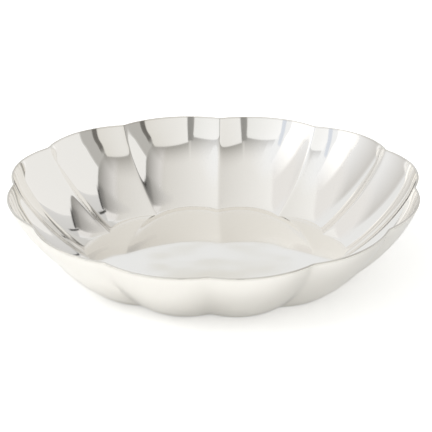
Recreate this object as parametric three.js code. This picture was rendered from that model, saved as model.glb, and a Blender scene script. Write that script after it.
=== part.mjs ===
import * as THREE from 'three';

// Fluted bowl, raised from one disc of silver sheet. Millimetres, +Z up.
// The flat underside lies at z = 0 with its centre at the origin. Creases stand on +X and +Y.

// Plan sizes
const acrossCrowns = 254; // over two opposite lobe crowns, at the lip
const footAcrossCreases = 152; // over two opposite creases, where the flat underside ends
const lobeCount = 12;
const lobeRiseAtLip = 4.7; // how far a crown stands outside its creases, at the lip
const lobeRiseAtFoot = 6.5; // the same where the wall leaves the foot

// Section sizes
const lipHeight = 46.8; // mean height of the outer edge of the lip
const lipSway = 2.7; // the lip rides this much higher at both sides, and dips as much front and back
const lipSlope = 64.7; // degrees from level, where the wall reaches the lip
const footSweep = 3.5; // how far the foot's level carries on into the wall before it turns up
const lipSweep = 31.2; // how far the lip's slope carries back down the wall

// Metal
const sheetThickness = 1.0;
const lipThickness = 1.4; // the edge is hammered back on itself, so it is thicker than the sheet
const lipThickening = 9; // height below the lip over which the sheet grows to that thickness
const lipCrown = 0.5; // how far the rounded edge stands past the end of the wall

// Fineness of the mesh
const stepsPerLobe = 10;
const wallSteps = 15;
const edgeSteps = 4;

const creaseRadius = acrossCrowns / 2 - lobeRiseAtLip;
const footRadius = footAcrossCreases / 2;

/** The outer face of the wall in section, along a crease: level at the foot, steep at the lip. */
function wallCurve() {
  const slope = THREE.MathUtils.degToRad(lipSlope);
  const foot = new THREE.Vector2(footRadius, 0);
  const lip = new THREE.Vector2(creaseRadius, lipHeight);
  const pastFoot = new THREE.Vector2(footRadius + footSweep, 0);
  const beforeLip = new THREE.Vector2(Math.cos(slope), Math.sin(slope)).multiplyScalar(-lipSweep).add(lip);
  return new THREE.CubicBezierCurve(foot, pastFoot, beforeLip, lip);
}

/** How thick the metal is at a height of the outer face: plain sheet, growing towards the lip. */
function thicknessAt(height) {
  const nearness = THREE.MathUtils.smoothstep(height, lipHeight - lipThickening, lipHeight);
  return THREE.MathUtils.lerp(sheetThickness, lipThickness, nearness);
}

/** One ring of the shell: its crease's radius and height, its lobes' rise, and its part of the lip's sway. */
function ring(point, outerHeight) {
  const upTheWall = outerHeight / lipHeight;
  const rise = THREE.MathUtils.lerp(lobeRiseAtFoot, lobeRiseAtLip, upTheWall);
  return { radius: point.x, height: point.y, rise, sway: lipSway * upTheWall };
}

/** The closed section, from the middle of the underside, up the outside, over the lip and back down inside. */
function sectionRings() {
  const curve = wallCurve();
  const outside = [];
  const inside = [];
  for (let step = 0; step <= wallSteps; step += 1) {
    const along = step / wallSteps;
    const point = curve.getPoint(along);
    const tangent = curve.getTangent(along);
    const inward = new THREE.Vector2(-tangent.y, tangent.x);
    const innerPoint = inward.multiplyScalar(thicknessAt(point.y)).add(point);
    outside.push(ring(point, point.y));
    inside.unshift(ring(innerPoint, point.y));
  }
  return [...outside, ...lipEdgeRings(curve), ...inside];
}

/** The rounded edge between the outer and the inner face: half an ellipse on the end of the wall. */
function lipEdgeRings(curve) {
  const outer = curve.getPoint(1);
  const tangent = curve.getTangent(1);
  const inward = new THREE.Vector2(-tangent.y, tangent.x);
  const edge = [];
  for (let step = 1; step < edgeSteps; step += 1) {
    const turn = (Math.PI * step) / edgeSteps;
    const across = (lipThickness / 2) * (1 - Math.cos(turn));
    const past = lipCrown * Math.sin(turn);
    const point = outer.clone().addScaledVector(inward, across).addScaledVector(tangent, past);
    edge.push(ring(point, lipHeight));
  }
  return edge;
}

/** Radius of the lobed outline at an angle: each lobe is one arc, from crease over crown to crease. */
function lobedRadius(radius, rise, angle) {
  const lobePitch = (2 * Math.PI) / lobeCount;
  const fromCrown = (angle % lobePitch) - lobePitch / 2;
  const halfChord = radius * Math.sin(lobePitch / 2);
  const crownRadius = radius + rise;
  const sagitta = crownRadius - radius * Math.cos(lobePitch / 2);
  const arcRadius = (halfChord ** 2 + sagitta ** 2) / (2 * sagitta);
  const arcCentre = crownRadius - arcRadius;
  return arcCentre * Math.cos(fromCrown) + Math.sqrt(arcRadius ** 2 - (arcCentre * Math.sin(fromCrown)) ** 2);
}

/** A point of a ring at an angle. */
function shellPoint({ radius, height, rise, sway }, angle) {
  const outline = lobedRadius(radius, rise, angle);
  return [outline * Math.cos(angle), outline * Math.sin(angle), height + sway * Math.cos(2 * angle)];
}

/** The shell as one closed skin: rings of points, and one point in the middle of each flat face. */
function shellGeometry() {
  const rings = sectionRings();
  const columns = lobeCount * stepsPerLobe;
  const positions = [];
  const indices = [];
  for (const each of rings) {
    for (let column = 0; column < columns; column += 1) {
      positions.push(...shellPoint(each, (2 * Math.PI * column) / columns));
    }
  }
  for (let row = 0; row < rings.length - 1; row += 1) {
    for (let column = 0; column < columns; column += 1) {
      const next = (column + 1) % columns;
      const here = row * columns;
      const above = here + columns;
      indices.push(here + column, here + next, above + next);
      indices.push(here + column, above + next, above + column);
    }
  }
  const underside = rings.length * columns;
  const floor = underside + 1;
  const topRow = (rings.length - 1) * columns;
  positions.push(0, 0, 0, 0, 0, sheetThickness);
  for (let column = 0; column < columns; column += 1) {
    const next = (column + 1) % columns;
    indices.push(underside, next, column);
    indices.push(floor, topRow + column, topRow + next);
  }
  const geometry = new THREE.BufferGeometry();
  geometry.setAttribute('position', new THREE.Float32BufferAttribute(positions, 3));
  geometry.setIndex(indices);
  geometry.computeVertexNormals();
  return geometry;
}

/** The whole bowl is one raised sheet, so it is one body. */
function makeBowl() {
  const polishedSilver = new THREE.MeshStandardMaterial({ color: 0xe9e6df, roughness: 0.06, metalness: 1 });
  const shell = new THREE.Mesh(shellGeometry(), polishedSilver);
  shell.name = 'bowl_shell';
  return shell;
}

const bowl = new THREE.Group();
bowl.name = 'fluted_bowl';
bowl.add(makeBowl());

export default bowl;
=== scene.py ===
"""A fluted silver bowl: one sheet of metal raised into twelve lobes, dressed around its CAD solid."""

import math
from collections import namedtuple

import bpy
from bpy.props import FloatProperty, FloatVectorProperty, IntProperty, PointerProperty
from mathutils import Matrix, Vector


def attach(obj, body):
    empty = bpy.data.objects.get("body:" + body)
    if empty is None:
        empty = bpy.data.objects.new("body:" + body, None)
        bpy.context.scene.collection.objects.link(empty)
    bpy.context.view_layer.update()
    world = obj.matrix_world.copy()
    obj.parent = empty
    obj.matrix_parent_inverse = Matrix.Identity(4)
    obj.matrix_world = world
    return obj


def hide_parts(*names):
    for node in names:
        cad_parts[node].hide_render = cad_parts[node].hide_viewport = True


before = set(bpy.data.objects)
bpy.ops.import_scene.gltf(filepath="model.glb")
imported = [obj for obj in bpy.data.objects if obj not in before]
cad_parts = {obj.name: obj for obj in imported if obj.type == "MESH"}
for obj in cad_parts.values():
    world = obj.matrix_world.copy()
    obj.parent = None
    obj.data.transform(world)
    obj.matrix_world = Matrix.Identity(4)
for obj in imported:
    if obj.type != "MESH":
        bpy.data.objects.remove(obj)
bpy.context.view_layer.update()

bl_info = {
    "name": "Fluted Silver Bowl",
    "version": (1, 0, 0),
    "blender": (4, 5, 0),
    "location": "3D View > Sidebar > Bowl",
    "description": "Raises a twelve-lobed silver bowl and sets it on a white table",
    "category": "Object",
}

BODY = "root"
CAD_NODE = "bowl_shell"

MM = 0.001  # all lengths are in metres
LIP_HEIGHT = 46.8 * MM


def linear_colour(hex_code):
    """An sRGB hex value such as #f2efe8 as linear red, green, blue and an alpha of 1."""
    digits = hex_code.lstrip("#")
    channels = [int(digits[place:place + 2], 16) / 255 for place in (0, 2, 4)]
    linear = [c / 12.92 if c <= 0.04045 else ((c + 0.055) / 1.055) ** 2.4 for c in channels]
    return (*linear, 1.0)


def add_node(tree, kind, inputs=(), **settings):
    """Add a node, make its settings, and set or link its inputs, given in order or by name.

    A node given as an input stands for its first output in use. None leaves an input as it is.
    """
    node = tree.nodes.new(kind)
    for name, value in settings.items():
        setattr(node, name, value)
    for key, value in inputs.items() if isinstance(inputs, dict) else enumerate(inputs):
        if isinstance(value, bpy.types.Node):
            value = next(output for output in value.outputs if output.enabled)
        if isinstance(value, bpy.types.NodeSocket):
            tree.links.new(value, node.inputs[key])
        elif value is not None:
            node.inputs[key].default_value = value
    return node


# Sizes and colours that a user would change

class BowlSizes(bpy.types.PropertyGroup):
    """Sizes of the raised sheet."""

    lobes: IntProperty(name="Lobes", description="Number of lobes round the bowl", default=12, min=3)
    crease_radius: FloatProperty(
        name="Crease Radius", description="From the middle to a crease, at the lip",
        default=122.3 * MM, unit="LENGTH")
    foot_radius: FloatProperty(
        name="Foot Radius", description="From the middle to a crease, where the flat underside ends",
        default=76 * MM, unit="LENGTH")
    rise_at_lip: FloatProperty(
        name="Lobe Rise at Lip", description="How far a crown stands outside its creases, at the lip",
        default=4.7 * MM, unit="LENGTH")
    rise_at_foot: FloatProperty(
        name="Lobe Rise at Foot", description="How far a crown stands outside its creases, at the foot",
        default=6.5 * MM, unit="LENGTH")
    crease_softness: FloatProperty(
        name="Crease Softness", description="Half width of the rounding along a crease",
        default=1.2 * MM, unit="LENGTH")
    lip_height: FloatProperty(
        name="Lip Height", description="Mean height of the outer edge of the lip",
        default=LIP_HEIGHT, unit="LENGTH")
    lip_sway: FloatProperty(
        name="Lip Sway", description="How much higher the lip rides at both sides, and lower front and back",
        default=2.7 * MM, unit="LENGTH")
    lip_slope: FloatProperty(
        name="Lip Slope", description="Slope of the wall from level, where it reaches the lip",
        default=math.radians(64.7), subtype="ANGLE")
    foot_sweep: FloatProperty(
        name="Foot Sweep", description="How far the foot's level carries on before the wall turns up",
        default=3.5 * MM, unit="LENGTH")
    lip_sweep: FloatProperty(
        name="Lip Sweep", description="How far the lip's slope carries back down the wall",
        default=31.2 * MM, unit="LENGTH")
    sheet: FloatProperty(
        name="Sheet Thickness", description="Thickness of the metal", default=1.0 * MM, unit="LENGTH")
    lip_thickness: FloatProperty(
        name="Lip Thickness", description="Thickness of the edge, hammered back on itself",
        default=1.4 * MM, unit="LENGTH")
    lip_thickening: FloatProperty(
        name="Lip Thickening", description="Height below the lip over which the sheet grows thicker",
        default=9 * MM, unit="LENGTH")
    lip_crown: FloatProperty(
        name="Lip Crown", description="How far the rounded edge stands past the end of the wall",
        default=0.5 * MM, unit="LENGTH")
    wander: FloatProperty(
        name="Hand Wander", description="How far the planished sheet wanders from the true curve",
        default=0.12 * MM, unit="LENGTH")
    wander_length: FloatProperty(
        name="Wander Length", description="Distance over which the wander rises and falls",
        default=34 * MM, unit="LENGTH")
    wear_width: FloatProperty(
        name="Wear Width", description="How far the rubbed metal reaches down from the lip",
        default=0.8 * MM, unit="LENGTH")


class SilverFinish(bpy.types.PropertyGroup):
    """Colour and polish of the silver."""

    colour: FloatVectorProperty(
        name="Colour", description="Colour of the polished metal", subtype="COLOR", size=4,
        default=linear_colour("#f9f7f3"), min=0, max=1)
    polish: FloatProperty(
        name="Roughness", description="Roughness of the buffed face", subtype="FACTOR",
        default=0.055, min=0, max=1)
    worn_colour: FloatVectorProperty(
        name="Worn Colour", description="Colour of the metal where hands rub the lip", subtype="COLOR",
        size=4, default=linear_colour("#e6e3dd"), min=0, max=1)
    worn_roughness: FloatProperty(
        name="Worn Roughness", description="Added roughness on the lip's edge", subtype="FACTOR",
        default=0.04, min=0, max=1)
    pit_spacing: FloatProperty(
        name="Pit Spacing", description="Typical distance between two pits", default=32 * MM, unit="LENGTH")
    pit_radius: FloatProperty(
        name="Pit Radius", description="Radius of the largest pit", default=0.5 * MM, unit="LENGTH")


class StageLooks(bpy.types.PropertyGroup):
    """The table, the light and the camera."""

    table_colour: FloatVectorProperty(
        name="Table Colour", description="Colour of the white table", subtype="COLOR", size=4,
        default=linear_colour("#f4f4f2"), min=0, max=1)
    table_glow: FloatProperty(
        name="Table Whitening", description="What the camera sees on top of the lit table",
        subtype="FACTOR", default=0.36, min=0, max=1)
    mirrored_glow: FloatProperty(
        name="Mirrored Whitening", description="What the metal shows on top of the lit table",
        subtype="FACTOR", default=0.09, min=0, max=1)
    glow_colour: FloatVectorProperty(
        name="Whitening Colour", description="Colour of that whitening", subtype="COLOR", size=4,
        default=linear_colour("#ffffff"), min=0, max=1)
    room_light: FloatProperty(
        name="Room Light", description="Strength of the light from all round on the table",
        default=0.84, min=0, max=2)
    window_light: FloatProperty(
        name="Window Light", description="Power of the soft lamp that throws the shadow, in watts",
        default=14, min=0, max=100, unit="POWER")


# Geometry Nodes: the raised shell

VECTOR = "ShaderNodeVectorMath"
MATH = "ShaderNodeMath"

# Fineness of the mesh, in steps
STEPS_PER_LOBE = 36
OUTSIDE_STEPS = 58
INSIDE_STEPS = 92
EDGE_STEPS = 10
UNDERSIDE_STEPS = 6
FLOOR_STEPS = 26
COLUMN_CROWDING = 0.86  # columns crowd towards the creases; 0 spreads them evenly, 1 would make them meet

MERGE_DISTANCE = 0.002 * MM  # joins the section's lines to each other, and the points that meet on the axis
HANDLE_PER_CROWN = 4 / 3  # a cubic with its two handles side by side reaches three quarters of their length
NOISE_MEAN = (0.5, 0.5, 0.5)

# The lengths that the tree takes. The lobes and the lip's slope have sockets of their own.
SIZE_SOCKETS = (
    "crease_radius", "foot_radius", "rise_at_lip", "rise_at_foot", "crease_softness", "lip_height",
    "lip_sway", "foot_sweep", "lip_sweep", "sheet", "lip_thickness", "lip_thickening", "lip_crown",
    "wander", "wander_length", "wear_width",
)


def bowl_sockets(tree):
    """Give the tree its outer sockets and return its input node."""
    interface = tree.interface
    interface.new_socket("Lobes", in_out="INPUT", socket_type="NodeSocketInt")
    interface.new_socket("Lip Slope", in_out="INPUT", socket_type="NodeSocketFloat")
    for name in SIZE_SOCKETS:
        title = BowlSizes.bl_rna.properties[name].name
        interface.new_socket(title, in_out="INPUT", socket_type="NodeSocketFloat")
    interface.new_socket("Material", in_out="INPUT", socket_type="NodeSocketMaterial")
    interface.new_socket("Geometry", in_out="OUTPUT", socket_type="NodeSocketGeometry")
    return tree.nodes.new("NodeGroupInput")


def section_point(tree, radius, height, outer_height):
    """A point of the section, drawn with its radius as X and its height as Y.

    Z carries the outer face's height at that place, and the inner face keeps it.
    """
    return add_node(tree, "ShaderNodeCombineXYZ", (radius, height, outer_height))


def flat_line(tree, start_radius, end_radius, height, steps):
    """A level line of the section: the underside or the floor."""
    line = add_node(tree, "GeometryNodeCurvePrimitiveLine", (
        section_point(tree, start_radius, height, 0.0), section_point(tree, end_radius, height, 0.0)))
    return add_node(tree, "GeometryNodeResampleCurve", {"Curve": line, "Count": steps + 1})


def wall_line(tree, size, slope_direction, steps):
    """The outer face of the wall in section, along a crease: level at the foot, steep at the lip."""
    foot = section_point(tree, size["Foot Radius"], 0.0, 0.0)
    swept = add_node(tree, MATH, (size["Foot Radius"], size["Foot Sweep"]), operation="ADD")
    past_foot = section_point(tree, swept, 0.0, 0.0)
    lip = section_point(tree, size["Crease Radius"], size["Lip Height"], size["Lip Height"])
    slope = add_node(tree, "ShaderNodeSeparateXYZ", (slope_direction,))
    slope_point = section_point(tree, slope.outputs["X"], slope.outputs["Y"], slope.outputs["Y"])
    back_down = add_node(tree, VECTOR, {0: slope_point, "Scale": size["Lip Sweep"]}, operation="SCALE")
    before_lip = add_node(tree, VECTOR, (lip, back_down), operation="SUBTRACT")
    curve = add_node(tree, "GeometryNodeCurvePrimitiveBezierSegment", {
        "Resolution": steps, "Start": foot, "Start Handle": past_foot, "End Handle": before_lip, "End": lip})
    return add_node(tree, "GeometryNodeResampleCurve", {"Curve": curve}, mode="EVALUATED")


def inner_line(tree, size, slope_direction, steps):
    """The inner face of the wall in section, from the lip down: the outer face moved in by the metal."""
    outer = wall_line(tree, size, slope_direction, steps)
    place = tree.nodes.new("GeometryNodeInputPosition")
    height = add_node(tree, "ShaderNodeSeparateXYZ", (place,)).outputs["Y"]
    starts_at = add_node(tree, MATH, (size["Lip Height"], size["Lip Thickening"]), operation="SUBTRACT")
    thickness = add_node(tree, "ShaderNodeMapRange", {
        "Value": height, "From Min": starts_at, "From Max": size["Lip Height"],
        "To Min": size["Sheet Thickness"], "To Max": size["Lip Thickness"]},
        interpolation_type="SMOOTHSTEP")
    tangent = add_node(tree, "ShaderNodeSeparateXYZ", (tree.nodes.new("GeometryNodeInputTangent"),))
    leftwards = add_node(tree, MATH, (tangent.outputs["Y"], -1.0), operation="MULTIPLY")
    inward = add_node(tree, "ShaderNodeCombineXYZ", (leftwards, tangent.outputs["X"], 0.0))
    unit = add_node(tree, VECTOR, (inward,), operation="NORMALIZE")
    offset = add_node(tree, VECTOR, {0: unit, "Scale": thickness}, operation="SCALE")
    moved = add_node(tree, "GeometryNodeSetPosition", {"Geometry": outer, "Offset": offset})
    return add_node(tree, "GeometryNodeReverseCurve", (moved,))


def edge_line(tree, size, slope_direction, steps):
    """The rounded edge of the lip in section: a half oval from the outer to the inner face."""
    outer = section_point(tree, size["Crease Radius"], size["Lip Height"], size["Lip Height"])
    slope = add_node(tree, "ShaderNodeSeparateXYZ", (slope_direction,))
    leftwards = add_node(tree, MATH, (slope.outputs["Y"], -1.0), operation="MULTIPLY")
    inward = add_node(tree, "ShaderNodeCombineXYZ", (leftwards, slope.outputs["X"], 0.0))
    across = add_node(tree, VECTOR, {0: inward, "Scale": size["Lip Thickness"]}, operation="SCALE")
    inner = add_node(tree, VECTOR, (outer, across), operation="ADD")
    handle_length = add_node(tree, MATH, (size["Lip Crown"], HANDLE_PER_CROWN), operation="MULTIPLY")
    handle = add_node(tree, VECTOR, {0: slope_direction, "Scale": handle_length}, operation="SCALE")
    curve = add_node(tree, "GeometryNodeCurvePrimitiveBezierSegment", {
        "Resolution": steps, "Start": outer,
        "Start Handle": add_node(tree, VECTOR, (outer, handle), operation="ADD"),
        "End Handle": add_node(tree, VECTOR, (inner, handle), operation="ADD"), "End": inner})
    return add_node(tree, "GeometryNodeResampleCurve", {"Curve": curve}, mode="EVALUATED")


def round_path(tree, lobes):
    """A closed ring of points, one for each column of the mesh, each holding its angle round the bowl."""
    columns = add_node(tree, MATH, (lobes, float(STEPS_PER_LOBE)), operation="MULTIPLY")
    ring = add_node(tree, "GeometryNodeCurvePrimitiveCircle", {"Resolution": columns})
    share = add_node(tree, MATH, (tree.nodes.new("GeometryNodeInputIndex"), columns), operation="DIVIDE")
    even = add_node(tree, MATH, (share, math.tau), operation="MULTIPLY")
    lobe_turn = add_node(tree, MATH, (even, lobes), operation="MULTIPLY")
    wave = add_node(tree, MATH, (lobe_turn,), operation="SINE")
    crowding = add_node(tree, MATH, (COLUMN_CROWDING, lobes), operation="DIVIDE")
    shift = add_node(tree, MATH, (wave, crowding), operation="MULTIPLY")
    angle = add_node(tree, MATH, (even, shift), operation="SUBTRACT")
    return add_node(tree, "GeometryNodeStoreNamedAttribute", {
        "Geometry": ring, "Name": "angle", "Value": angle}, data_type="FLOAT", domain="POINT")


def lobed_radius(tree, radius, rise, angle, lobes, softness, crease_radius):
    """Radius of the lobed outline at an angle: each lobe is one arc, from crease over crown to crease."""
    half_pitch = add_node(tree, MATH, (math.pi, lobes), operation="DIVIDE")
    from_crease = add_node(tree, MATH, (angle, half_pitch), operation="PINGPONG")
    soft_angle = add_node(tree, MATH, (softness, crease_radius), operation="DIVIDE")
    soft_square = add_node(tree, MATH, (soft_angle, soft_angle), operation="MULTIPLY")
    square = add_node(tree, MATH, (from_crease, from_crease, soft_square), operation="MULTIPLY_ADD")
    softened = add_node(tree, MATH, (square,), operation="SQRT")
    from_crown = add_node(tree, MATH, (half_pitch, softened), operation="SUBTRACT")

    sine = add_node(tree, MATH, (half_pitch,), operation="SINE")
    cosine = add_node(tree, MATH, (half_pitch,), operation="COSINE")
    half_chord = add_node(tree, MATH, (radius, sine), operation="MULTIPLY")
    to_chord = add_node(tree, MATH, (radius, cosine), operation="MULTIPLY")
    crown_radius = add_node(tree, MATH, (radius, rise), operation="ADD")
    sagitta = add_node(tree, MATH, (crown_radius, to_chord), operation="SUBTRACT")
    half_chord_square = add_node(tree, MATH, (half_chord, half_chord), operation="MULTIPLY")
    squares = add_node(tree, MATH, (sagitta, sagitta, half_chord_square), operation="MULTIPLY_ADD")
    double_sagitta = add_node(tree, MATH, (sagitta, 2.0), operation="MULTIPLY")
    arc_radius = add_node(tree, MATH, (squares, double_sagitta), operation="DIVIDE")
    arc_centre = add_node(tree, MATH, (crown_radius, arc_radius), operation="SUBTRACT")

    crown_cosine = add_node(tree, MATH, (from_crown,), operation="COSINE")
    along = add_node(tree, MATH, (arc_centre, crown_cosine), operation="MULTIPLY")
    crown_sine = add_node(tree, MATH, (from_crown,), operation="SINE")
    aside = add_node(tree, MATH, (arc_centre, crown_sine), operation="MULTIPLY")
    aside_square = add_node(tree, MATH, (aside, aside), operation="MULTIPLY")
    arc_square = add_node(tree, MATH, (arc_radius, arc_radius), operation="MULTIPLY")
    reach_square = add_node(tree, MATH, (arc_square, aside_square), operation="SUBTRACT")
    reach = add_node(tree, MATH, (reach_square,), operation="SQRT")
    return add_node(tree, MATH, (along, reach), operation="ADD")


def lobed_place(tree, size, lobes):
    """Where a point of the swept section lies on the bowl, and the parts of its place in the section."""
    section = add_node(
        tree, "GeometryNodeInputNamedAttribute", {"Name": "section"}, data_type="FLOAT_VECTOR")
    angle = add_node(tree, "GeometryNodeInputNamedAttribute", {"Name": "angle"}, data_type="FLOAT")
    parts = add_node(tree, "ShaderNodeSeparateXYZ", (section,))
    radius, height, outer_height = (parts.outputs[axis] for axis in "XYZ")

    up_the_wall = add_node(tree, MATH, (outer_height, size["Lip Height"]), operation="DIVIDE")
    wall_rise = add_node(tree, "ShaderNodeMapRange", {
        "Value": up_the_wall, "To Min": size["Lobe Rise at Foot"], "To Max": size["Lobe Rise at Lip"]})
    within_foot = add_node(tree, MATH, (radius, size["Foot Radius"]), operation="DIVIDE", use_clamp=True)
    rise = add_node(tree, MATH, (wall_rise, within_foot), operation="MULTIPLY")
    reach = lobed_radius(tree, radius, rise, angle, lobes, size["Crease Softness"], size["Crease Radius"])

    double_angle = add_node(tree, MATH, (angle, 2.0), operation="MULTIPLY")
    swing = add_node(tree, MATH, (double_angle,), operation="COSINE")
    sway = add_node(tree, MATH, (size["Lip Sway"], up_the_wall), operation="MULTIPLY")
    swayed = add_node(tree, MATH, (sway, swing, height), operation="MULTIPLY_ADD")
    cosine = add_node(tree, MATH, (angle,), operation="COSINE")
    x = add_node(tree, MATH, (reach, cosine), operation="MULTIPLY")
    sine = add_node(tree, MATH, (angle,), operation="SINE")
    y = add_node(tree, MATH, (reach, sine), operation="MULTIPLY")
    return add_node(tree, "ShaderNodeCombineXYZ", (x, y, swayed)), parts


def hand_wander(tree, size, parts):
    """A slow wander of the hand-worked sheet.

    It dies out at the lip and on the underside, which stay true.
    """
    scale = add_node(tree, MATH, (1.0, size["Wander Length"]), operation="DIVIDE")
    noise = add_node(tree, "ShaderNodeTexNoise", {"Scale": scale, "Detail": 1.0, "Roughness": 0.4})
    centred = add_node(tree, VECTOR, (noise.outputs["Color"], NOISE_MEAN), operation="SUBTRACT")
    off_the_table = add_node(
        tree, MATH, (parts.outputs["Y"], size["Sheet Thickness"]), operation="DIVIDE", use_clamp=True)
    below_lip = add_node(tree, MATH, (size["Lip Height"], parts.outputs["Z"]), operation="SUBTRACT")
    fading = add_node(tree, MATH, (below_lip, size["Lip Thickening"]), operation="DIVIDE", use_clamp=True)
    amount = add_node(tree, MATH, (off_the_table, fading), operation="MULTIPLY")
    # The noise strays by a half to either side of its mean, so it is doubled.
    double = add_node(tree, MATH, (size["Hand Wander"], 2.0), operation="MULTIPLY")
    depth = add_node(tree, MATH, (amount, double), operation="MULTIPLY")
    return add_node(tree, VECTOR, {0: centred, "Scale": depth}, operation="SCALE")


def lip_wear(tree, size, parts):
    """How worn the silver is: all of it on the lip's rounded edge, fading out down both faces."""
    starts_at = add_node(tree, MATH, (size["Lip Height"], size["Wear Width"]), operation="SUBTRACT")
    return add_node(tree, "ShaderNodeMapRange", {
        "Value": parts.outputs["Z"], "From Min": starts_at, "From Max": size["Lip Height"]},
        interpolation_type="SMOOTHSTEP")


def bowl_tree():
    """The node tree that raises the bowl: a closed section, swept round, then pushed out into lobes."""
    tree = bpy.data.node_groups.new("raise_fluted_bowl", "GeometryNodeTree")
    size = bowl_sockets(tree).outputs
    lobes = size["Lobes"]
    slope_direction = add_node(tree, "ShaderNodeCombineXYZ", (
        add_node(tree, MATH, (size["Lip Slope"],), operation="COSINE"),
        add_node(tree, MATH, (size["Lip Slope"],), operation="SINE"), 0.0))

    lines = add_node(tree, "GeometryNodeJoinGeometry")
    for line in (
        flat_line(tree, 0.0, size["Foot Radius"], 0.0, UNDERSIDE_STEPS),
        wall_line(tree, size, slope_direction, OUTSIDE_STEPS),
        edge_line(tree, size, slope_direction, EDGE_STEPS),
        inner_line(tree, size, slope_direction, INSIDE_STEPS),
        flat_line(tree, size["Foot Radius"], 0.0, size["Sheet Thickness"], FLOOR_STEPS),
    ):
        tree.links.new(line.outputs[0], lines.inputs[0])
    section = add_node(tree, "GeometryNodeStoreNamedAttribute", {
        "Geometry": lines, "Name": "section", "Value": tree.nodes.new("GeometryNodeInputPosition")},
        data_type="FLOAT_VECTOR", domain="POINT")
    swept = add_node(tree, "GeometryNodeCurveToMesh", {
        "Curve": round_path(tree, lobes), "Profile Curve": section})

    place, parts = lobed_place(tree, size, lobes)
    lobed = add_node(tree, "GeometryNodeSetPosition", {"Geometry": swept, "Position": place})
    closed = add_node(tree, "GeometryNodeMergeByDistance", {"Geometry": lobed, "Distance": MERGE_DISTANCE})
    wander = hand_wander(tree, size, parts)
    worked = add_node(tree, "GeometryNodeSetPosition", {"Geometry": closed, "Offset": wander})
    worn = add_node(tree, "GeometryNodeStoreNamedAttribute", {
        "Geometry": worked, "Name": "lip_wear", "Value": lip_wear(tree, size, parts)},
        data_type="FLOAT", domain="POINT")
    smooth = add_node(tree, "GeometryNodeSetShadeSmooth", {"Geometry": worn, "Shade Smooth": True})
    for name in ("section", "angle"):
        smooth = add_node(tree, "GeometryNodeRemoveAttribute", {"Geometry": smooth, "Name": name})
    real = add_node(tree, "GeometryNodeRealizeInstances", (smooth,))
    finished = add_node(tree, "GeometryNodeSetMaterial", {"Geometry": real, "Material": size["Material"]})
    add_node(tree, "NodeGroupOutput", (finished,))
    return tree


def raise_sheet(sizes, material):
    """The bowl's mesh, made by the node tree from the sizes."""
    blank = bpy.data.objects.new("sheet_blank", bpy.data.meshes.new("sheet_blank"))
    bpy.context.scene.collection.objects.link(blank)
    modifier = blank.modifiers.new("raise", "NODES")
    modifier.node_group = bowl_tree()
    values = {BowlSizes.bl_rna.properties[name].name: getattr(sizes, name) for name in SIZE_SOCKETS}
    values.update({"Lobes": sizes.lobes, "Lip Slope": sizes.lip_slope, "Material": material})
    # An input goes by its socket's identifier, and is set before the object is first evaluated.
    for item in modifier.node_group.interface.items_tree:
        if item.in_out == "INPUT":
            modifier[item.identifier] = values[item.name]
    bpy.context.view_layer.update()
    evaluated = blank.evaluated_get(bpy.context.evaluated_depsgraph_get())
    mesh = bpy.data.meshes.new_from_object(evaluated)
    bpy.data.objects.remove(blank)
    return mesh


# Materials

# Both colour inputs of a Mix node, by number, because its inputs for other kinds have the same names
FIRST_COLOUR = 6
SECOND_COLOUR = 7

# The haze of the felt wheel: the size of its patches, the levels of noise between which it grows, and
# its roughness at both, as shares of the polish
HAZE_PATCH = 20 * MM
HAZE_NOISE = (0.3, 0.7)
HAZE_ROUGHNESS = (0.8, 1.25)

# Pits: the level of chance above which a cell has one, the share of its radius that is wholly dark, and
# the tarnish in it
PIT_CHANCE = 0.45
PIT_CORE = 0.6
PIT_COLOUR = "#7d786f"

# Painted window light on the table: where the whitening of the table that the metal shows starts to fade,
# and where it has gone, along X
PAINTED_WINDOW_LIGHT_FADE = (60 * MM, 240 * MM)

LEAST_FADE = 0.001  # the least share of a side over which a panel fades, so that the range never closes


def bare_material(name):
    """A new material with no nodes in it yet."""
    material = bpy.data.materials.new(name)
    material.use_nodes = True
    material.node_tree.nodes.clear()
    return material


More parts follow.
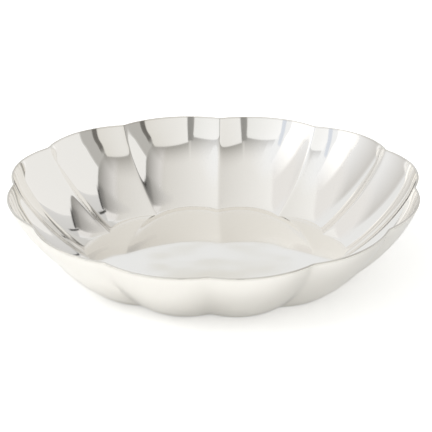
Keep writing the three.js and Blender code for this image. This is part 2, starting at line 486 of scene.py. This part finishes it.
def sterling_silver(finish):
    """Sterling silver, hammered, planished and buffed to a mirror on a felt wheel.

    A clear, faintly warm mirror that shows the room, with a thin haze and a few tiny pits in the metal.
    """
    material = bare_material("sterling_silver_buffed")
    tree = material.node_tree
    place = add_node(tree, "ShaderNodeTexCoord").outputs["Object"]

    # The felt wheel leaves a faint haze in patches.
    haze = add_node(tree, "ShaderNodeTexNoise", {"Vector": place, "Scale": 1 / HAZE_PATCH, "Detail": 3.0})
    clearest, haziest = (finish.polish * share for share in HAZE_ROUGHNESS)
    roughness = add_node(tree, "ShaderNodeMapRange", {
        "Value": haze.outputs["Fac"], "From Min": HAZE_NOISE[0], "From Max": HAZE_NOISE[1],
        "To Min": clearest, "To Max": haziest})

    # Pits: one possible place in each cell, of which chance keeps a few, each of its own size.
    cells = add_node(tree, "ShaderNodeTexVoronoi", {"Vector": place, "Scale": 1 / finish.pit_spacing})
    chance = add_node(tree, "ShaderNodeSeparateColor", (cells.outputs["Color"],))
    largest = finish.pit_radius / finish.pit_spacing
    radius = add_node(tree, "ShaderNodeMapRange", {
        "Value": chance.outputs["Red"], "From Min": PIT_CHANCE, "From Max": 1.0,
        "To Min": 0.0, "To Max": largest})
    core = add_node(tree, MATH, (radius, PIT_CORE), operation="MULTIPLY")
    pit = add_node(tree, "ShaderNodeMapRange", {
        "Value": cells.outputs["Distance"], "From Min": radius, "From Max": core,
        "To Min": 0.0, "To Max": 1.0})
    colour = add_node(tree, "ShaderNodeMix", {
        "Factor": pit, FIRST_COLOUR: finish.colour, SECOND_COLOUR: linear_colour(PIT_COLOUR)},
        data_type="RGBA")

    # The lip is rubbed whenever the bowl is lifted or wiped, so its edge is a little greyer and duller.
    wear = add_node(tree, "ShaderNodeAttribute", attribute_name="lip_wear").outputs["Fac"]
    worn = add_node(tree, "ShaderNodeMix", {
        "Factor": wear, FIRST_COLOUR: colour, SECOND_COLOUR: finish.worn_colour}, data_type="RGBA")
    dulled = add_node(tree, MATH, (wear, finish.worn_roughness, roughness), operation="MULTIPLY_ADD")

    surface = add_node(tree, "ShaderNodeBsdfPrincipled", {
        "Base Color": worn, "Metallic": 1.0, "Roughness": dulled})
    add_node(tree, "ShaderNodeOutputMaterial", (surface,))
    return material


def seen_ray(tree, straight=1.0, mirrored=1.0):
    """A level that depends on the ray.

    Straight is for what the camera sees, mirrored for what metal or glass shows it, and other light gets 0.
    """
    path = add_node(tree, "ShaderNodeLightPath").outputs
    through = add_node(tree, MATH, (path["Is Glossy Ray"], path["Is Transmission Ray"]), operation="MAXIMUM")
    mirror_level = add_node(tree, MATH, (through, mirrored), operation="MULTIPLY")
    camera_level = add_node(tree, MATH, (path["Is Camera Ray"], straight), operation="MULTIPLY")
    return add_node(tree, MATH, (camera_level, mirror_level), operation="MAXIMUM")


def white_laminate(looks):
    """A pressed laminate table top with a matt white face: plain white that keeps the bowl's soft shadow."""
    material = bare_material("matt_white_laminate")
    tree = material.node_tree
    lit = add_node(tree, "ShaderNodeBsdfDiffuse", {"Color": looks.table_colour})
    # The window stands at the left, so the whitening of the table that the metal shows is painted light:
    # full on that side, fading out towards +X.
    place = add_node(tree, "ShaderNodeTexCoord").outputs["Object"]
    across = add_node(tree, "ShaderNodeSeparateXYZ", (place,))
    mirrored = add_node(tree, "ShaderNodeMapRange", {
        "Value": across.outputs["X"], "From Min": PAINTED_WINDOW_LIGHT_FADE[0], "From Max": PAINTED_WINDOW_LIGHT_FADE[1],
        "To Min": looks.mirrored_glow, "To Max": 0.0})
    strength = seen_ray(tree, looks.table_glow, mirrored)
    glow = add_node(tree, "ShaderNodeEmission", {"Color": looks.glow_colour, "Strength": strength})
    both = add_node(tree, "ShaderNodeAddShader", (lit, glow))
    add_node(tree, "ShaderNodeOutputMaterial", (both,))
    return material


def panel_fade(tree, place, soft_near, soft_far, curve):
    """How solid a panel is along one side: it fades in over the first share and out over the last.

    A curve above 1 makes the fade out start fast and end slowly.
    """
    rising = add_node(tree, "ShaderNodeMapRange", {
        "Value": place, "From Min": 0.0, "From Max": max(soft_near, LEAST_FADE)},
        interpolation_type="SMOOTHSTEP")
    falling = add_node(tree, "ShaderNodeMapRange", {
        "Value": place, "From Min": 1.0, "From Max": 1 - max(soft_far, LEAST_FADE)})
    eased = add_node(tree, MATH, (falling, curve), operation="POWER")
    return add_node(tree, MATH, (rising, eased), operation="MULTIPLY")


def lit_panel(name, colours, soft, curve=1.0, glow=1.0):
    """A matt painted panel of the studio that glows with its own light: an even tone, or one that changes
    across it as painted light from one side, a smooth tone in the silver.

    Soft holds the share of the panel that each of its edges takes to fade.
    """
    material = bare_material(name)
    tree = material.node_tree
    spot = add_node(tree, "ShaderNodeTexCoord").outputs["UV"]
    across = add_node(tree, "ShaderNodeSeparateXYZ", (spot,))
    soft_start, soft_end, soft_bottom, soft_top = soft
    shown = add_node(tree, MATH, (
        panel_fade(tree, across.outputs["X"], soft_start, soft_end, 1.0),
        panel_fade(tree, across.outputs["Y"], soft_bottom, soft_top, curve),
    ), operation="MULTIPLY")
    start_colour, end_colour = (linear_colour(hex_code) for hex_code in colours)
    colour = add_node(tree, "ShaderNodeMix", {
        "Factor": across.outputs["X"], FIRST_COLOUR: start_colour, SECOND_COLOUR: end_colour},
        data_type="RGBA")
    light = add_node(tree, "ShaderNodeEmission", {"Color": colour, "Strength": glow})
    clear = add_node(tree, "ShaderNodeBsdfTransparent")
    mix = add_node(tree, "ShaderNodeMixShader", (shown, clear, light))
    add_node(tree, "ShaderNodeOutputMaterial", (mix,))
    return material


# Stage

# A flat upright panel of the studio, which only the metal shows, given by where the bowl sees it. All of
# its angles are in degrees. Facing is the compass angle to the panel, 0 towards +X and 90 towards +Y.
# Start and end are the compass angles of its two sides at the bottom, counted from facing. Bottom and top
# are elevations. Lean is how far the start side has turned at the top. Colours are those of its start and
# its end. Soft is how much the start, the end, the bottom and the top take to fade. Curve shapes the fade
# at the top, and glow is the strength of its light.
# The list runs from far to near, and a nearer panel covers a farther one.
Panel = namedtuple(
    "Panel", "name facing start end bottom top lean colours soft curve glow", defaults=(1.0, 1.0))

PANELS = (
    Panel("backdrop", 100, -52, 52, 0, 55, 0, ("#edeff1", "#ecedee"), (9, 9, 2, 17)),
    Panel("window_glow", -145, -36, 46, 10, 71.5, 0, ("#f6f8fb", "#f6f8fb"), (36, 46, 4, 21), 1.3),
    Panel("right_haze", 5, 2, 38, 35, 71, 0, ("#d3d2d0", "#cfcdcb"), (16, 12, 1, 14)),
    # Painted shadow: the next three are dark bands on the wall and ceiling just above the tops of the right
    # wall, the cream screen and the light screen, fading out upwards.
    Panel("shade_above_right_wall", 5, -38, 38, 41, 65, 0, ("#a7a6a2", "#7f7d7a"), (7, 4, 0.5, 23), 2.5),
    Panel("shade_above_cream_screen", -69, -22, 53, 50, 69.5, 0, ("#93928d", "#928e89"), (8, 7, 0.5, 19), 3.3),
    Panel("shade_above_light_screen", -99, -54, 12, 45.5, 67.5, 0, ("#ffffff", "#949390"), (13, 3.5, 0.5, 21), 2.8),
    Panel("left_wall", 160, -21, 21, 0, 39, 0, ("#c9c7c4", "#f3f4f6"), (7, 2, 2, 10)),
    Panel("window", -163, -17.5, 13.5, 10, 64, -4, ("#ffffff", "#ffffff"), (8, 1, 3, 26), 3.0, 1.2),
    Panel("frame_head", -104, -42, -14, 45, 54.6, 0, ("#dddee0", "#d0d1d2"), (1.5, 6, 0.5, 7), 1.6),
    Panel("light_screen", -104, -40, 10.5, 10, 47.7, 0, ("#fcfdff", "#e7e8e7"), (1, 1, 3, 0.7), 1.0, 1.06),
    Panel("window_frame", -145.5, 4, 10.2, 12, 44.5, -10, ("#dbe1ec", "#dde3ed"), (1, 1, 3, 2)),
    Panel("cream_screen", -69, -16, 43, 10, 52.5, 0, ("#f2f2f1", "#dfddd8"), (0.5, 1, 3, 0.8)),
    Panel("right_wall", 5, -14, 60, 0, 42.6, 0, ("#efefee", "#f2f1f0"), (0.5, 2, 2, 0.6)),
    Panel("side_wall", 5, 51.5, 66.5, 3, 42.8, -32, ("#dbdbdb", "#c6c6c6"), (1, 1, 1, 0.6)),
    Panel("back_corner", 72, -17, 17, 3, 43, 0, ("#d4d4d3", "#cbc9c6"), (1, 3, 2, 7)),
    Panel("back_patch", 90, 0, 3.5, 24.43, 27, 0, ("#e0dfda", "#e0dfda"), (0.7, 0.7, 0.1, 0.5)),
    Panel("ceiling_shadow", 5, 5, 38, 41.8, 47.5, 0, ("#7a7977", "#7a7977"), (9, 6, 0.8, 4.5)),
    # Painted shade: a thin dark line where the top of the right wall meets the ceiling, under the ceiling's
    # shadow.
    Panel("ceiling_line", 5, 10, 38.5, 41.0, 42.9, 0, ("#555452", "#2a2927"), (9, 0.5, 0.4, 0.6)),
    # Painted shade: a dark slanted line down the shadowed edge of the side wall.
    Panel("corner_line", 48, 5, 7, 23, 38.2, -11.5, ("#3a3937", "#3a3937"), (0.5, 0.5, 5, 0.5)),
    Panel("grey_band", -12, -14, 6.5, 10, 43.5, 2.5, ("#bab9b6", "#b9b8b5"), (1, 2.5, 2, 2)),
    Panel("camera_gap", -88.75, -4.8, 4.8, 12, 50.5, 0, ("#9c9c99", "#92918f"), (1, 1, 3, 1)),
    Panel("corner_post", -24, -7, 1, 12, 41, 3, ("#6e6c68", "#72706c"), (1.5, 1.5, 3, 4)),
)

# Metres from the bowl to the nearest panel, and from each panel to the next. Two panels that face different
# ways would cut through each other if the step were much smaller.
NEAREST_PANEL = 6.0
PANEL_STEP = 0.3

# A level panel over the bowl: its height, its half width along X and Y, in metres, its colours towards -X
# and +X, and the share of it that each edge takes to fade. It hangs above the tops of all upright panels.
Ceiling = namedtuple("Ceiling", "name height half_x half_y colours soft")

# Painted light: both ceilings are lighter towards -X, the side of the window, and darker towards +X.
CEILINGS = (
    Ceiling("ceiling", 60.0, 138, 138, ("#efeeed", "#e2e0df"), (0, 0, 0, 0)),
    Ceiling("ceiling_light", 59.7, 40.8, 63, ("#f7f7f6", "#d7d5d1"), (0.08, 0.08, 0.12, 0.12)),
)


def flat_quad(name, corners, material):
    """One flat face with its own material, as an object of the scene."""
    mesh = bpy.data.meshes.new(name)
    mesh.from_pydata(corners, [], [(0, 1, 2, 3)])
    mesh.materials.append(material)
    quad = bpy.data.objects.new(name, mesh)
    bpy.context.scene.collection.objects.link(quad)
    return quad


def level_corners(half_x, half_y, height):
    """The corners of a level face with its middle over or under the bowl's."""
    return [(x * half_x, y * half_y, height) for x, y in ((-1, -1), (1, -1), (1, 1), (-1, 1))]


def studio_panel(name, corners, material):
    """A panel of the studio, which only mirrored rays see. Its UV map runs from 0 to 1 across it."""
    quad = flat_quad(name, corners, material)
    layer = quad.data.uv_layers.new(name="across")
    for loop, spot in zip(layer.data, ((0, 0), (1, 0), (1, 1), (0, 1))):
        loop.uv = spot
    quad.visible_camera = False
    quad.visible_diffuse = False
    quad.visible_shadow = False


def slope_of(degrees):
    """How far a direction strays over one metre of distance."""
    return math.tan(math.radians(degrees))


def soft_shares(near, far, soft_near, soft_far):
    """Two fades given in degrees, as shares of a side that runs between two angles."""
    start, end = slope_of(near), slope_of(far)
    share_near = (slope_of(near + soft_near) - start) / (end - start)
    share_far = (end - slope_of(far - soft_far)) / (end - start)
    return share_near, share_far


def set_panel(panel, distance):
    """Stand one upright panel of the studio in its place."""
    facing = math.radians(panel.facing)
    middle = Vector((math.cos(facing), math.sin(facing), 0)) * distance
    along = Vector((-math.sin(facing), math.cos(facing), 0)) * distance
    up = Vector((0, 0, distance))
    start, end = slope_of(panel.start), slope_of(panel.end)
    bottom, top = slope_of(panel.bottom), slope_of(panel.top)
    shift = slope_of(panel.start + panel.lean) - start
    corners = [middle + along * offset + up * height for offset, height in (
        (start, bottom), (end, bottom), (end + shift, top), (start + shift, top))]
    soft_start, soft_end, soft_bottom, soft_top = panel.soft
    soft = (*soft_shares(panel.start, panel.end, soft_start, soft_end),
            *soft_shares(panel.bottom, panel.top, soft_bottom, soft_top))
    studio_panel(panel.name, corners, lit_panel(panel.name, panel.colours, soft, panel.curve, panel.glow))


def set_ceiling(ceiling):
    """Hang one level panel over the bowl."""
    corners = level_corners(ceiling.half_x, ceiling.half_y, ceiling.height)
    studio_panel(ceiling.name, corners, lit_panel(ceiling.name, ceiling.colours, ceiling.soft))


TABLE_SIDE = 8.0
TABLE_DROP = 0.05 * MM  # a hair below the underside, so that the two faces don't lie in one plane

LAMP_PLACE = Vector((-1.15, -0.66, 1.6))
LAMP_SIDE = 1.2


def set_table(looks):
    """The white table."""
    corners = level_corners(TABLE_SIDE / 2, TABLE_SIDE / 2, -TABLE_DROP)
    table = flat_quad("table", corners, white_laminate(looks))


def set_lamp(looks):
    """One wide soft lamp at the upper left, which throws the shadow to the right."""
    lamp = bpy.data.lights.new("window_lamp", "AREA")
    lamp.shape = "SQUARE"
    lamp.size = LAMP_SIDE
    lamp.energy = looks.window_light
    holder = bpy.data.objects.new("window_lamp", lamp)
    holder.location = LAMP_PLACE
    holder.rotation_euler = (-LAMP_PLACE).to_track_quat("-Z", "Y").to_euler()
    holder.visible_glossy = False  # the silver shows the studio's window instead
    bpy.context.scene.collection.objects.link(holder)


def set_world(looks):
    """Plain white all round: full strength where it is seen, and the room light's strength as light."""
    world = bpy.data.worlds.new("white_room")
    world.use_nodes = True
    tree = world.node_tree
    tree.nodes.clear()
    strength = add_node(tree, "ShaderNodeMapRange", {
        "Value": seen_ray(tree), "To Min": looks.room_light, "To Max": 1.0})
    white = add_node(tree, "ShaderNodeBackground", {"Color": (1, 1, 1, 1), "Strength": strength})
    add_node(tree, "ShaderNodeOutputWorld", (white,))
    bpy.context.scene.world = world


# Camera, as the photograph was taken: a long lens, a little above the bowl
IMAGE_SIDE = 432  # pixels
FOCAL_PIXELS = 3618
SENSOR_MM = 36
LIP_CENTRE = Vector((0, 0, LIP_HEIGHT))
CAMERA_DISTANCE = 2.201
CAMERA_ELEVATION = math.radians(23.26)
CAMERA_AZIMUTH = math.radians(1.8)
CAMERA_ROLL = math.radians(-0.3)
AIM_RIGHT = 1.1 * MM  # the picture's middle lies this far right of the lip's middle, and this far below it
AIM_DOWN = 15.55 * MM


def set_camera():
    """The camera at the photograph's place, with its aim just below the lip's middle."""
    sin_e, cos_e = math.sin(CAMERA_ELEVATION), math.cos(CAMERA_ELEVATION)
    sin_a, cos_a = math.sin(CAMERA_AZIMUTH), math.cos(CAMERA_AZIMUTH)
    back = Vector((sin_a * cos_e, -cos_a * cos_e, sin_e))
    right = Vector((cos_a, sin_a, 0))
    up = back.cross(right)
    place = LIP_CENTRE + back * CAMERA_DISTANCE
    aim = LIP_CENTRE + right * AIM_RIGHT - up * AIM_DOWN
    data = bpy.data.cameras.new("camera")
    data.sensor_width = SENSOR_MM
    data.lens = FOCAL_PIXELS * SENSOR_MM / IMAGE_SIDE
    camera = bpy.data.objects.new("camera", data)
    turn = (aim - place).to_track_quat("-Z", "Y").to_matrix().to_4x4()
    camera.matrix_world = Matrix.Translation(place) @ turn @ Matrix.Rotation(CAMERA_ROLL, 4, "Z")
    bpy.context.scene.collection.objects.link(camera)
    bpy.context.scene.camera = camera


# Operators, panel and registration

class BOWL_OT_raise_shell(bpy.types.Operator):
    """Raise the fluted bowl from one sheet of silver"""

    bl_idname = "bowl.raise_shell"
    bl_label = "Raise Fluted Bowl"

    def execute(self, context):
        sizes, finish = context.scene.bowl_sizes, context.scene.silver_finish
        mesh = raise_sheet(sizes, sterling_silver(finish))
        mesh.name = "fluted_bowl"
        if not mesh.polygons:
            raise RuntimeError("the node tree gave no faces")
        bowl = bpy.data.objects.new("fluted_bowl", mesh)
        context.scene.collection.objects.link(bowl)
        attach(bowl, BODY)
        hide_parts(CAD_NODE)
        return {"FINISHED"}


class BOWL_OT_set_stage(bpy.types.Operator):
    """Set the table, the studio's panels, the light and the camera"""

    bl_idname = "bowl.set_stage"
    bl_label = "Set Table, Light and Camera"

    def execute(self, context):
        looks = context.scene.stage_looks
        set_table(looks)
        for ceiling in CEILINGS:
            set_ceiling(ceiling)
        # The list runs from far to near, so it is taken backwards.
        for place, panel in enumerate(reversed(PANELS)):
            set_panel(panel, NEAREST_PANEL + PANEL_STEP * place)
        set_lamp(looks)
        set_world(looks)
        set_camera()
        context.scene.view_settings.view_transform = "Standard"
        return {"FINISHED"}


class BOWL_PT_sidebar(bpy.types.Panel):
    """The sizes, the finish, the looks of the stage and both operators"""

    bl_label = "Fluted Bowl"
    bl_space_type = "VIEW_3D"
    bl_region_type = "UI"
    bl_category = "Bowl"

    def draw(self, context):
        for group in (context.scene.bowl_sizes, context.scene.silver_finish, context.scene.stage_looks):
            column = self.layout.column(align=True)
            for name in group.__annotations__:
                column.prop(group, name)
        self.layout.operator(BOWL_OT_raise_shell.bl_idname)
        self.layout.operator(BOWL_OT_set_stage.bl_idname)


CLASSES = (BowlSizes, SilverFinish, StageLooks, BOWL_OT_raise_shell, BOWL_OT_set_stage, BOWL_PT_sidebar)


def register():
    """Make the classes known, and hang their values on the scene."""
    for each in CLASSES:
        bpy.utils.register_class(each)
    bpy.types.Scene.bowl_sizes = PointerProperty(type=BowlSizes)
    bpy.types.Scene.silver_finish = PointerProperty(type=SilverFinish)
    bpy.types.Scene.stage_looks = PointerProperty(type=StageLooks)


def unregister():
    """Undo what register did."""
    for name in ("bowl_sizes", "silver_finish", "stage_looks"):
        delattr(bpy.types.Scene, name)
    for each in reversed(CLASSES):
        bpy.utils.unregister_class(each)


def main():
    """Raise the bowl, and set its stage."""
    register()
    bpy.ops.bowl.raise_shell()
    bpy.ops.bowl.set_stage()


if __name__ == "__main__":
    main()
